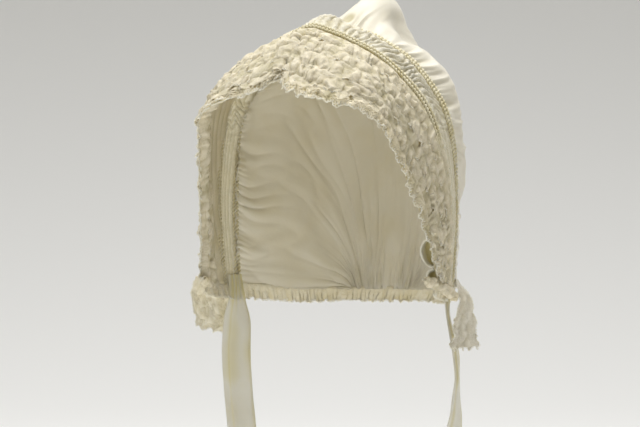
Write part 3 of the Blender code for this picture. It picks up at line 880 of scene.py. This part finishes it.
def frill(
    name,
    header,
    free,
    spacing,
    rows,
    seed,
    lift=1.0,
    first=-END,
    last=END,
    inside=False,
    meets=0.0,
    eyelets=0,
    ragged=0.13,
):
    """A gathered strip of lace, sewn down at its header arch and free at its other edge.

    Its free edge is scalloped, and it lies on the inner side of the brim where inside is true,
    coming out to meet the outer lace where meets is 1. Where it stops short of the neck edge, its
    end is drawn down flat. eyelets is how many threads each of its eyelets and the bar beside it
    take up, 0 for none, and ragged is how far its scallops reach. Gives the piece, its free edge
    and the way off it.
    """
    stations, places = evenly((header + free) / 2, spacing, first, last)
    share = np.linspace(0, 1, rows)[:, None]
    loose = 1 - share if header > free else share
    shape = (rows, len(places))
    loose = np.broadcast_to(loose, shape)
    across = np.broadcast_to(places[None, :], shape)
    width = np.linalg.norm(skin(header, stations) - skin(free, stations), axis=-1)
    down = loose * width[None, :]
    scallop_run = math.pi * places / LACE_SCALLOP + 1.1 * cloudy(places, 0, 0.02, seed)
    scallop = np.abs(np.sin(scallop_run))
    uneven = np.maximum(scallop - 0.6 + 0.6 * cloudy(places, 0.3, 0.008, seed + 9), -0.40)
    arches = header + (free - header) * loose * (1 + ragged * uneven[None, :] * loose)
    stations = np.broadcast_to(stations[None, :], shape)
    points, out, along, back = lie(arches, stations)
    wander = 0.9 * cloudy(across, 0.2, 0.017, seed + 1)
    wander = wander + 0.35 * cloudy(across, down, 0.007, seed + 7)
    phase = 2 * math.pi * (across / LACE_FOLD + wander)
    grown = loose**0.6
    puff = np.sin(math.pi * np.clip(loose * 0.8 + 0.1, 0, 1))
    puffs = -creased(across, down * 0.9, LACE_PUFF, seed + 20)
    crinkle = creased(across, down, LACE_CRINKLE, seed + 30)
    lumps = cloudy(across, down, 0.009, seed + 4)
    relief = 0.0007 + lift * (0.0020 * puff + 0.0004 * loose)
    small = creased(across, down, LACE_PUCKER, seed + 35)
    rough = 0.0006 * np.sin(phase) + 0.00125 * puffs + 0.00022 * crinkle + 0.0008 * lumps
    rough = rough + 0.0005 * small
    ends = np.ones(shape)
    if last < END:
        ends = ends * eased(0.0, END_TAPER, last - stations)
    if first > -END:
        ends = ends * eased(0.0, END_TAPER, stations - first)
    relief = np.maximum((relief + lift * rough * grown) * ends, 0.0003)
    lean = 0.0006 * np.sin(2 * phase + 1) + 0.0007 * cloudy(across, down, 0.0036, seed + 5)
    slip = 0.0009 * cloudy(across, down, 0.0042, seed + 6)
    if inside:
        out = -out
        meet = eased(0.55, 1.0, loose) * meets
        sunk = 0.0021 * (1 - eased(0, 0.25, loose) * ends)
        relief = (relief + 0.0009 - sunk) * (1 - meet) - 0.0010 * meet
    points = points + out * relief[..., None]
    points = points + lift * grown[..., None] * (along * lean[..., None] + back * slip[..., None])
    # Painted shade follows the puffs and crinkles and deepens along the pinched crease; the free
    # edge and the puffed middle are painted lighter as painted highlight
    lit_share = 0.42 + 0.30 * puffs + 0.14 * small + 0.20 * lumps + 0.06 * np.sin(phase)
    lit_share = lit_share + 0.25 * (puff - 0.6) + 0.2 * loose**4
    lit_share = np.clip(lit_share - 0.8 * crease_share(arches, stations), 0, 1)
    holes = rim_net(shape, header > free, eyelets) if eyelets else None
    edge, inner = (points[0], points[1]) if header > free else (points[-1], points[-2])
    turned = slice(None, None, -1) if inside else slice(None)
    own = own_map(across, down)
    piece = cloth_piece(
        name, points[:, turned], own[:, turned], LACE_SHEET, lit_share[:, turned], holes
    )
    return piece, edge, unit(edge - inner)


def picots(name, edge, lift, sizes):
    """Thread loops along an edge."""
    spacing, loop, thread = sizes
    line = line_piece(name + "_line", edge, lift)
    piece = PICOT.grow(name, line, THREAD, Spacing=spacing, Loop=loop, Thread=thread)
    settle(piece, THREAD)
    return piece


ROWS = (
    ("brim_frill_1", 0.70, 0.14, "brim_ruche_1"),
    ("brim_frill_2", 1.10, 0.54, "brim_ruche_2"),
    ("brim_frill_3", 1.48, 0.94, "brim_ruche_3"),
    ("brim_frill_4", 1.84, 1.34, "brim_ruche_4"),
)
# Lace further down the sides: its name, header, free edge, first and last station, whether it
# lies inside, whether it comes out to meet the outer lace, and the strip it was cut from
SIDE_EDGINGS = (
    ("side_edging_left", 1.78, 2.30, 4.1, END, False, 0, SIDE_CUT),
    ("side_edging_right", 1.78, 2.30, -END, -4.1, False, 0, SIDE_CUT),
    ("inner_edging", 0.42, -0.15, -END, 0.6, True, 1, INNER_CUT),
    ("inner_corner_right", 1.30, 0.34, -END, -4.3, True, 0, INNER_CORNER_CUT),
)


def build_frills():
    """The front edging, the four rows over the brim, and the lace further down the sides."""
    piece, edge, lift = frill(
        "front_lace_edging", 0.30, -0.14, 0.0005, 22, 40, 0.85, eyelets=4, ragged=0.34
    )
    settle(piece, LACE, "front_lace")
    rim = picots("front_lace_picots", edge, lift, BOLD_PICOTS)
    for number, (name, header, free, node) in enumerate(ROWS):
        piece, edge, lift = frill(name, header, free, 0.0006, 20, 60 + 50 * number)
        settle(piece, LACE, node)
        rim = picots(name + "_picots", edge, lift, ROW_PICOTS)
    for number, (name, header, free, first, last, inside, meets, cut) in enumerate(SIDE_EDGINGS):
        seed = 300 + 50 * number
        piece, edge, lift = frill(
            name, header, free, 0.0007, 20, seed, 0.6, first, last, inside, meets
        )
        settle(piece, LACE)
        rim = picots(name + "_picots", edge, lift, SIDE_PICOTS)


# Cords beside the seams


def cord_route(seam, side):
    """Points of a cord in front of a seam where side is -1, behind it where 1."""
    stations = evenly(seam, 0.0008)[0]
    at, out, _, back = lie(np.full(stations.shape, float(seam)), stations)
    reach = 1.4 * CORD_RADIUS + GAP / 2
    sunk = 0.0002 + 0.0012 * eased(3.6, 5.0, np.abs(stations))[:, None]
    return at + back * side * reach + out * (CORD_RADIUS + GAP - sunk)


def build_cords():
    """A pair of twisted cords over each seam."""
    for name, seam, side in (
        ("brim_cord_front", BRIM_SEAM, -1),
        ("brim_cord_back", BRIM_SEAM, 1),
        ("crown_cord_front", CROWN_SEAM, -1),
        ("crown_cord_back", CROWN_SEAM, 1),
    ):
        route = cord_route(seam, side)
        line = line_piece(name + "_line", route, np.zeros_like(route))
        piece = TWISTED_CORD.grow(name + "_twisted", line, CORD, Radius=CORD_SIZE)
        settle(piece, CORD, name)


# Neck edge and what hangs from it


def neck_line(spacing):
    """Points along the neck edge from the right front corner round the nape to the left one."""
    step = 0.25
    arches = np.linspace(0, NAPE, 201)[:-1]
    stations = np.linspace(END, -END, 161)
    right = skin(arches, -END), unit(skin(arches, -END) - skin(arches, -END + step))
    left = skin(arches[::-1], END), unit(skin(arches[::-1], END) - skin(arches[::-1], END - step))
    low = skin(NAPE, -stations), unit(skin(NAPE, -stations) - skin(NAPE - 0.5, -stations))
    points = np.concatenate([right[0], low[0], left[0]])
    ways = np.concatenate([right[1], low[1], left[1]])
    lengths = np.concatenate([[0], np.cumsum(np.linalg.norm(np.diff(points, axis=0), axis=1))])
    places = np.linspace(0, lengths[-1], round(lengths[-1] / spacing) + 1)
    points = np.stack([np.interp(places, lengths, points[:, i]) for i in range(3)], axis=-1)
    ways = np.stack([np.interp(places, lengths, ways[:, i]) for i in range(3)], axis=-1)
    for _ in range(30):
        ways[1:-1] = (ways[:-2] + 2 * ways[1:-1] + ways[2:]) / 4
    along = unit(np.gradient(points, axis=0))
    ways = unit(ways - along * dot(ways, along))
    outs = unit(np.cross(along, -ways))
    return places, points, ways, outs, along


def build_neck_frill():
    """The narrow frill that flares a little all round the neck edge."""
    places, points, ways, outs, along = neck_line(0.0005)
    rows = 16
    share = np.linspace(0, 1, rows)[:, None]
    looseness = np.broadcast_to(1 - share, (rows, len(places)))
    across = np.broadcast_to(places[None, :], looseness.shape)
    scallop_run = math.pi * places / NECK_SCALLOP + cloudy(places, 0, 0.03, 91)
    scallop = np.abs(np.sin(scallop_run))[None, :]
    down = looseness * (FRILL_DROP + 0.0016 * (scallop - 0.7) * looseness)
    phase = 2 * math.pi * (across / NECK_FOLD + 0.5 * cloudy(across, down * 0.4, 0.02, 92))
    grown = looseness**0.8
    small = creased(across, down * 0.6, NECK_PUCKER, 93)
    tiny = creased(across, down, NECK_CRINKLE, 96)
    relief = FRILL_FLARE * looseness + 0.0009 * np.sin(phase) * grown
    relief = relief + 0.0008 * small * grown + 0.0003 * tiny * grown
    lean = (0.0009 * np.sin(2 * phase) + 0.0007 * cloudy(across, down, 0.004, 95)) * grown
    made = points[None] + ways[None] * (down - 0.0020 * (1 - looseness))[..., None]
    made = made + outs[None] * (relief + 0.0006 * (1 - looseness))[..., None]
    made = made + along[None] * lean[..., None]
    # Painted shade follows the folds of the frill
    lit_share = np.clip(0.5 + (relief - FRILL_FLARE * looseness) / 0.0030, 0, 1)
    piece = cloth_piece("neck_frill_lace", made, own_map(across, down), LACE_SHEET, lit_share)
    settle(piece, LIT_CORNER_LACE, "neck_frill")
    rim = picots("neck_frill_picots", made[0], unit(made[0] - made[1]), NECK_PICOTS)


def flat(way):
    """A direction laid level."""
    return unit(way * (1, 1, 0))


def hanging_lace(
    name, arch, side, sewn, clear, drop, widths, swing, forward, seed, node, finish
):
    """A crumpled lace end that hangs outside the neck frill and flares over it.

    It lies clear of the cloth by clear, and its back edge swings outwards on the way down, by
    swing degrees at its foot.
    """
    edge = skin(arch, side * END)
    out = flat(lie(np.array(float(arch)), np.array(side * END - side * 0.05))[1])
    way = unit(edge - skin(arch, side * (END - 0.25)))
    along = unit(skin(arch + 0.5, side * END) - skin(max(arch - 0.5, 0), side * END))
    flare = FRILL_FLARE + END_PLEAT / 2
    over = (FRILL_DROP + sewn) / drop
    rows, columns = 72, 66
    down = np.linspace(0, 1, rows)[:, None]
    share = np.linspace(0, 1, columns)[None, :]
    lift = np.interp(down[:, 0], (0, over, (1 + over) / 2, 1), (0, 1, 0.6, 0.4))[:, None]
    spread = widths[0] + (widths[1] - widths[0]) * np.sin(math.pi / 2 * down)
    scallop = np.abs(np.sin(math.pi * share * 4.0 + 0.6)) * 0.0022 * down**3
    fall = drop * down - sewn - scallop + 0.0016 * cloudy(share, down, 0.35, seed + 5) * down
    width = share * spread * 1.5
    pleats = np.sin(2 * math.pi * (share * 2.6 + 0.45 * cloudy(share, down, 0.3, seed)))
    puffs = -creased(width, fall, HUNG_PUFF, seed + 1)
    tiny = creased(width, fall, HUNG_CRINKLE, seed + 2)
    grown = 0.45 + 0.55 * down
    rough = END_PLEAT * (0.26 * pleats + 0.50 * puffs + 0.26 * tiny) * grown
    relief = LACE_WALL + clear + flare * lift + rough
    wobble = 0.0009 * cloudy(fall, 0.5, 0.009, seed + 3) * down
    off_middle = 2 * (share - 0.5)
    edge_wave = 0.0015 * cloudy(fall, share * 0.02, 0.0048, seed + 4) * off_middle**3
    turn = np.radians(swing) * (0.36 + 0.64 * down) * eased(0, 0.24, down)
    made = edge + way * fall[..., None] + out * relief[..., None]
    behind = spread * (share * np.cos(turn) - forward) + wobble + edge_wave
    inner = 0.14 * (1 - eased(0.1, 0.8, down))
    made = made + along * behind[..., None]
    made = made + out * (spread * (share - inner) * np.sin(turn))[..., None]
    # Painted shade in the hollows of the puffs and pleats
    lit_share = np.clip(0.60 + 0.28 * puffs + 0.10 * tiny + 0.12 * pleats, 0, 1)
    uv = own_map(np.broadcast_to(width, lit_share.shape), np.broadcast_to(fall, lit_share.shape))
    order = slice(None, None, -1) if side > 0 else slice(None)
    piece = cloth_piece(name, made[:, order], uv[:, order], LACE_SHEET, lit_share[:, order])
    settle(piece, finish, node)
    border = np.concatenate([made[8:, 0], made[-1, 1:-1], made[8:, -1][::-1]])
    centre = made[30, columns // 2]
    rim = picots(name + "_picots", border, unit(border - centre), FINE_PICOTS)


def rolled_frill(name, route, seed):
    """A gathered strip of lace rolled round a line, open along one side."""
    route = np.array(route, float)
    rows, columns = 34, 110
    places = np.linspace(0, len(route) - 1, columns)
    spine = line_table(route, places)
    along = unit(np.gradient(spine, axis=0))
    level = unit(np.cross(along, UP))
    rise = np.cross(level, along)
    run = np.concatenate([[0], np.cumsum(np.linalg.norm(np.diff(spine, axis=0), axis=1))])
    angle = np.radians(np.linspace(ROLL_FROM, ROLL_TO, rows))[:, None]
    across = np.broadcast_to(run[None, :], (rows, columns))
    round_it = np.broadcast_to(angle * ROLL_RADIUS, across.shape)
    puffs = -creased(across, round_it, ROLL_PUFF, seed)
    tiny = creased(across, round_it, ROLL_CRINKLE, seed + 5)
    ends = np.minimum(run, run[-1] - run)[None, :]
    closing = 0.35 + 0.65 * eased(0, 0.005, ends)
    size = (ROLL_RADIUS + 0.0006 * puffs + 0.0003 * tiny) * closing
    made = spine[None] + level[None] * (size * np.cos(angle))[..., None]
    made = made + rise[None] * (size * np.sin(angle))[..., None]
    made = made + along[None] * (0.0008 * cloudy(across, round_it, 0.004, seed + 9))[..., None]
    # Painted shade in the hollows of the roll's puffs
    lit_share = np.clip(0.62 + 0.3 * puffs + 0.1 * tiny, 0, 1)
    piece = cloth_piece(name, made[::-1], own_map(across, round_it)[::-1], LACE_SHEET, lit_share[::-1])
    settle(piece, LACE)
    rims = [
        picots(name + "_picots", made[-1], unit(made[-1] - made[-2]), FINE_PICOTS),
        picots(name + "_other_picots", made[0], unit(made[0] - made[1]), FINE_PICOTS),
    ]


def build_corner_rolls():
    """The lace is rolled into a soft rope under each front corner."""
    for name, side, seed in (("corner_roll_left", 1, 710), ("corner_roll_right", -1, 730)):
        tip = skin(0.0, side * END) + np.array((-side * 0.0050, -0.0095, 0.0012))
        middle = skin(0.5, side * END) + np.array((0, 0, -0.0018))
        back = skin(2.0, side * END) + np.array((side * 0.0018, 0, -0.0040))
        last = skin(3.4, side * END) + np.array((side * 0.0038, 0, -0.0070))
        rolled_frill(name, (tip, middle, back, last), seed)


def ribbon(name, top, side, hang, node):
    """A ribbon that hangs from its top, through the rows of its table."""
    rows, columns = 200, 32
    places = np.linspace(0, len(hang) - 1, rows)
    values = line_table(hang, places)
    down, aside, ahead, turn = values.T
    turn = np.radians(turn)
    across = np.stack([side * np.cos(turn), np.sin(turn), 0 * turn], axis=-1)
    spot = top - UP * TIE_LENGTH * down[:, None]
    spot[:, 0] += side * TIE_SWAY * aside
    spot[:, 1] -= TIE_SWAY * ahead
    share = np.linspace(-0.5, 0.5, columns)[None, :]
    out = np.cross(across, -UP)
    fall = (TIE_LENGTH * down)[:, None]
    pinched = 1 - eased(0.0, 0.028, fall)
    gathers = 0.0010 * np.sin(2 * math.pi * share * 4) * pinched
    belly = 0.0007 * cloudy(share * 0.02 + 0.3, fall, 0.012, 7)
    belly = belly + 0.0004 * np.sin(math.pi * share * 3)
    turned_in = eased(-0.24, -0.30, share) * 0.0007 + eased(0.44, 0.47, share) * 0.0004
    relief = belly + gathers + turned_in
    width = TIE_WIDTH * share * (1 - 0.42 * pinched)
    made = spot[:, None] + across[:, None] * width[..., None]
    made = made + out[:, None] * relief[..., None]
    line = np.exp(-(((share + 0.27) / 0.03) ** 2))
    line = line + np.exp(-(((share - 0.45) / 0.02) ** 2))
    sewn = 1 - eased(0.010, 0.020, fall)
    # Painted shade follows the belly and gathers, and is laid along the turned-in edges and at the
    # sewn, pinched top
    lit_share = np.clip(0.58 + belly / 0.004 - 0.20 * line + gathers / 0.003 - 0.32 * sewn, 0, 1)
    uv = own_map(width + TIE_WIDTH / 2, np.broadcast_to(fall, lit_share.shape))
    order = slice(None) if side > 0 else slice(None, None, -1)
    piece = cloth_piece(name, made[:, order], uv[:, order], TIE_SHEET, lit_share[:, order])
    settle(piece, RIBBON, node)


def build_ties():
    """The two ribbons, each sewn inside the neck edge behind its front corner."""
    for name, side, arch, hang, node in (
        ("tie_left_ribbon", 1, LEFT_TIE_ARCH, LEFT_TIE_HANG, "tie_left"),
        ("tie_right_ribbon", -1, RIGHT_TIE_ARCH, RIGHT_TIE_HANG, "tie_right"),
    ):
        edge = skin(arch, side * END)
        out = flat(lie(np.array(arch), np.array(side * (END - 0.05)))[1])
        inset = CLOTH_WALL + TIE_WALL + 3 * GAP
        ribbon(name, edge - out * inset + UP * TIE_SEWN, side, hang, node)


def curled_ribbon(name, first, last, bulge, depth, inner_lit_share):
    """A short bound ribbon that curls in from the front edge, with its lining behind it, painted
    with shade that deepens into the curl and covers the lining.
    """
    arch, steps = 0.25, 40
    behind = unit(skin(arch + 0.5, last) - skin(arch, last))
    inward = -lie(np.array(arch), np.array((first + last) / 2))[1]
    seat = CLOTH_WALL + 2 * GAP
    top, bottom = skin(arch, first) + inward * seat, skin(arch, last) + inward * seat
    angle = np.linspace(0, math.pi, steps)[:, None]
    share = (1 - np.cos(angle)) / 2
    spine = top + (bottom - top) * share + inward * bulge * np.sin(angle)
    deep = np.linspace(0, 1, 12)[None, :, None]
    made = spine[:, None] + behind * depth * deep
    made = made + inward * 0.0006 * np.sin(3 * angle)[:, None] * deep
    length = np.linalg.norm(np.diff(spine, axis=0), axis=1).sum()
    run = np.broadcast_to(np.linspace(0, length, steps)[:, None], made.shape[:2])
    wide = np.broadcast_to(depth * deep[..., 0], made.shape[:2])
    # Painted shade deepens from the rim into the curl
    lit_share = np.broadcast_to(0.75 - (0.75 - inner_lit_share) * deep[..., 0], made.shape[:2])
    piece = cloth_piece(name + "_ribbon", made, own_map(wide, run), LOOP_SHEET, lit_share)
    rim = made[:, 0]
    line = line_piece(name + "_line", rim, np.zeros_like(rim))
    hem = TWISTED_CORD.grow(name + "_hem", line, THREAD, Radius=0.0008, Pitch=0.02)
    settle(hem, THREAD)
    base = top + (bottom - top) * share
    fill = np.linspace(0, 1, 14)[None, :, None]
    web = base[:, None] * (1 - fill) + spine[:, None] * fill + behind * depth * 0.72
    web = web + behind * 0.0012 * np.sin(math.pi * fill)
    # The lining is painted almost all in shade
    dim = np.full(web.shape[:2], 0.05)
    across = np.broadcast_to(fill[..., 0] * bulge, dim.shape)
    run = np.broadcast_to(np.linspace(0, length, steps)[:, None], dim.shape)
    lining = cloth_piece(name + "_lining", web[:, ::-1], own_map(across, run), LOOP_SHEET, dim)
    settle(lining, RIBBON)
    return piece, [hem, lining]


def build_side_loop():
    """The loop in the wearer's left front corner, and the small fold below it."""
    reach = 0.85 * LOOP_BULGE
    # The last number of each is the painted light left deepest in the curl
    loop, trims = curled_ribbon("side_loop", END - 0.70, END - 0.25, reach, LOOP_DEPTH, 0.2)
    settle(loop, RIBBON, "side_loop")
    fold, trims = curled_ribbon("corner_fold", END - 0.22, END - 0.01, 0.0050, 0.0060, 0.1)
    settle(fold, RIBBON)


build_brim_ground()
build_band()
build_crown()
build_frills()
build_cords()
build_neck_frill()
hanging_lace(
    "lace_tail",
    TAIL_ARCH,
    1,
    TAIL_SEWN,
    2 * GAP,
    TAIL_DROP,
    TAIL_WIDTHS,
    TAIL_SWING,
    TAIL_FORWARD,
    620,
    "lace_tail_left",
    FRAYED,
)
hanging_lace(
    "lace_corner",
    CORNER_ARCH,
    -1,
    CORNER_SEWN,
    CORNER_CLEAR,
    CORNER_DROP,
    CORNER_WIDTHS,
    CORNER_SWING,
    CORNER_FORWARD,
    640,
    "lace_corner_right",
    LIT_CORNER_LACE,
)
build_corner_rolls()
build_ties()
build_side_loop()


# Backdrop and light

FLOOR_HEIGHT = -0.40
# The floor's colour passes into the darker wall colour higher up: painted shade, darker with height
FLOOR_COLOUR = (0.94, 0.938, 0.92)
SHADED_WALL_COLOUR = (0.84, 0.835, 0.805)


def build_backdrop():
    """A pale floor that sweeps up into a plain wall, turned as the view is, with painted shade that
    darkens it up the wall.
    """
    front, back, bend, side, top, steps = -14.0, 3.6, 3.5, 14.0, 6.0, 48
    profile = [(front, FLOOR_HEIGHT)]
    for i in range(steps + 1):
        angle = math.pi / 2 * i / steps
        rise = bend * (1 - math.cos(angle))
        profile.append((back + bend * math.sin(angle), FLOOR_HEIGHT + rise))
    profile.append((back + bend, top))
    cos, sin = math.cos(VIEW_TURN), math.sin(VIEW_TURN)
    points = []
    for y, z in profile:
        for x in (-side, side):
            points.append((x * cos - y * sin, x * sin + y * cos, z))
    faces = [(2 * i, 2 * i + 1, 2 * i + 3, 2 * i + 2) for i in range(len(profile) - 1)]
    mesh = bpy.data.meshes.new("backdrop")
    mesh.from_pydata(points, [], faces)
    for face in mesh.polygons:
        face.use_smooth = True
    backdrop = placed("backdrop", mesh)
    finish = Finish("pale backdrop paper")
    height = finish.node("ShaderNodeSeparateXYZ", Vector=finish.place()).outputs[2]
    # Painted shade: darker with height up the wall
    share = finish.ramp(height, FLOOR_HEIGHT, 0.30)
    colour = finish.mixed(share, FLOOR_COLOUR, SHADED_WALL_COLOUR)
    mesh.materials.append(finish.done(colour, 0.9, specular=0.1))


def soft_light(name, place, size, power, towards):
    """A large soft lamp."""
    data = bpy.data.lights.new(name, "AREA")
    data.shape = "RECTANGLE"
    data.size, data.size_y = size
    data.energy = power
    light = placed(name, data)
    light.location = place
    way = unit(np.array(towards) - np.array(place))
    light.rotation_euler = (
        math.atan2(math.hypot(way[0], way[1]), -way[2]),
        0,
        math.atan2(way[0], -way[1]),
    )


# Each light's name, place, size, power and what it is turned towards
BONNET_MIDDLE = (0.0, 0.02, -0.08)
SOFT_LIGHTS = (
    ("overhead softbox", (-0.15, 0.20, 1.25), (1.2, 1.0), 28, BONNET_MIDDLE),
    ("front fill", (-1.45, -1.3, 0.45), (1.4, 1.4), 30, BONNET_MIDDLE),
    ("backdrop light", (-1.44, 3.08, 2.4), (3.0, 2.0), 42, (-1.94, 4.17, -0.3)),
)
AIR_COLOUR = (1.0, 0.99, 0.97, 1)
AIR_STRENGTH = 0.45

build_backdrop()
for light in SOFT_LIGHTS:
    soft_light(*light)
world = bpy.data.worlds.new("studio air")
world.use_nodes = True
air = world.node_tree.nodes["Background"]
air.inputs["Color"].default_value = AIR_COLOUR
air.inputs["Strength"].default_value = AIR_STRENGTH
bpy.context.scene.world = world
bpy.context.scene.view_settings.view_transform = "Standard"
